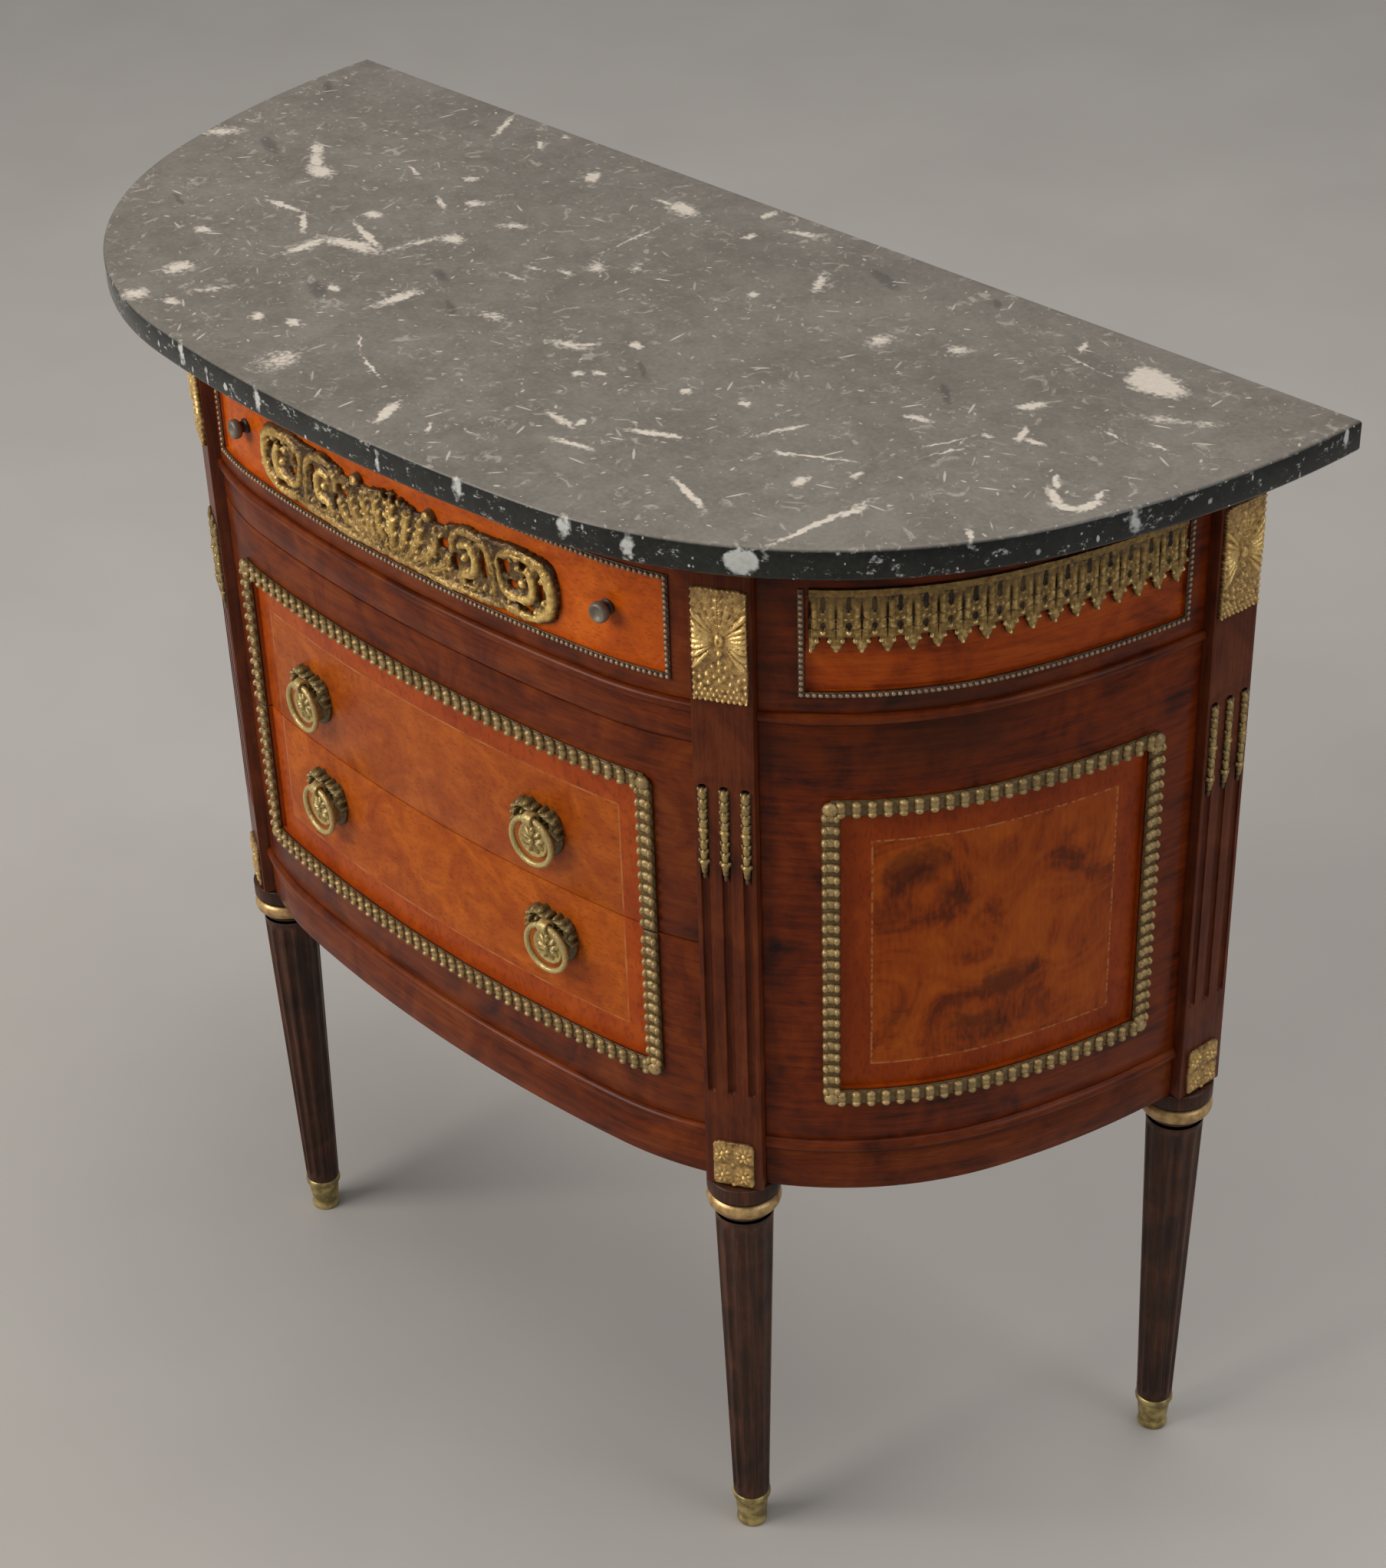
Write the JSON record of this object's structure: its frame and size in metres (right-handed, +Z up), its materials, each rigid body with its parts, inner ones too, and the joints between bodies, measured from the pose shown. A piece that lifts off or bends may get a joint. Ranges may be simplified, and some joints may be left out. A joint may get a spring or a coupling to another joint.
{
  "type": "demilune commode chest",
  "caption": "Half-moon commode with a marble top, fluted stiles on tapered legs, bowed drawers with ring pulls and curved side panels.",
  "frame": {"origin": "centre of the footprint at floor level, midway between the marble's front and back edges", "axes": "+X to the right seen from the front, -Y out of the drawer fronts, +Z up"},
  "size_m": [0.9538, 0.4298, 0.86],
  "materials": {
    "marble": "polished dark fossil marble",
    "mahogany": "glossy french polish",
    "dark_mahogany": "glossy french polish",
    "satinwood": "glossy french polish",
    "burr_walnut": "glossy french polish",
    "softwood": "plain unpolished",
    "brass": "aged gilt brass",
    "knob_metal": "dark tarnished"
  },
  "bodies": {
    "carcase": {"back_panel": "softwood", "bottom_board": "mahogany", "carcase_top": "softwood", "dust_board": "mahogany", "front_apron": "mahogany", "front_rail": "mahogany", "leg_back_left": "dark_mahogany", "leg_back_right": "dark_mahogany", "leg_collar_back_left": "brass", "leg_collar_back_right": "brass", "leg_collar_front_left": "brass", "leg_collar_front_right": "brass", "leg_front_left": "dark_mahogany", "leg_front_right": "dark_mahogany", "marble_top": "marble", "partition_left": "softwood", "partition_right": "softwood", "sabot_back_left": "brass", "sabot_back_right": "brass", "sabot_front_left": "brass", "sabot_front_right": "brass", "side_apron_left": "mahogany", "side_apron_right": "mahogany", "side_frieze_left": "satinwood", "side_frieze_right": "satinwood", "side_lambrequin_left": "brass", "side_lambrequin_right": "brass", "side_moulding_left": "brass", "side_moulding_right": "brass", "side_panel_left": "burr_walnut", "side_panel_right": "burr_walnut", "stile_back_left": "mahogany", "stile_back_right": "mahogany", "stile_front_left": "mahogany", "stile_front_right": "mahogany", "stile_plaque_back_left": "brass", "stile_plaque_back_right": "brass", "stile_plaque_front_left": "brass", "stile_plaque_front_right": "brass"},
    "frieze_drawer": {"frieze_drawer_box": "softwood", "frieze_drawer_front": "satinwood", "frieze_drawer_knob_left": "knob_metal", "frieze_drawer_knob_right": "knob_metal", "frieze_drawer_mount": "brass"},
    "upper_drawer": {"upper_drawer_box": "softwood", "upper_drawer_front": "satinwood", "upper_drawer_moulding": "brass", "upper_drawer_pull_plate_left": "brass", "upper_drawer_pull_plate_right": "brass"},
    "lower_drawer": {"lower_drawer_box": "softwood", "lower_drawer_front": "satinwood", "lower_drawer_moulding": "brass", "lower_drawer_pull_plate_left": "brass", "lower_drawer_pull_plate_right": "brass"},
    "lower_drawer_pull_ring_left": {"lower_drawer_pull_ring_left": "brass"},
    "lower_drawer_pull_ring_right": {"lower_drawer_pull_ring_right": "brass"},
    "upper_drawer_pull_ring_left": {"upper_drawer_pull_ring_left": "brass"},
    "upper_drawer_pull_ring_right": {"upper_drawer_pull_ring_right": "brass"}
  },
  "joints": [
    {"name": "frieze_drawer_slide", "type": "slide", "parent": "carcase", "child": "frieze_drawer", "axis": [0, -1, 0], "range_m": [0, 0.2]},
    {"name": "upper_drawer_slide", "type": "slide", "parent": "carcase", "child": "upper_drawer", "axis": [0, -1, 0], "range_m": [0, 0.2]},
    {"name": "lower_drawer_slide", "type": "slide", "parent": "carcase", "child": "lower_drawer", "axis": [0, -1, 0], "range_m": [0, 0.2]},
    {"name": "upper_drawer_pull_ring_left_hinge", "type": "hinge", "parent": "upper_drawer", "child": "upper_drawer_pull_ring_left", "pos_m": [-0.12632, -0.16023, 0.5875], "axis": [-0.9952, 0.0974, 0], "range_deg": [0, 110]},
    {"name": "upper_drawer_pull_ring_right_hinge", "type": "hinge", "parent": "upper_drawer", "child": "upper_drawer_pull_ring_right", "pos_m": [0.11829, -0.16099, 0.5875], "axis": [-0.9958, -0.0912, 0], "range_deg": [0, 110]},
    {"name": "lower_drawer_pull_ring_left_hinge", "type": "hinge", "parent": "lower_drawer", "child": "lower_drawer_pull_ring_left", "pos_m": [-0.1193, -0.1609, 0.504], "axis": [-0.9958, 0.092, 0], "range_deg": [0, 110]},
    {"name": "lower_drawer_pull_ring_right_hinge", "type": "hinge", "parent": "lower_drawer", "child": "lower_drawer_pull_ring_right", "pos_m": [0.12532, -0.16032, 0.504], "axis": [-0.9953, -0.0967, 0], "range_deg": [0, 110]}
  ]
}
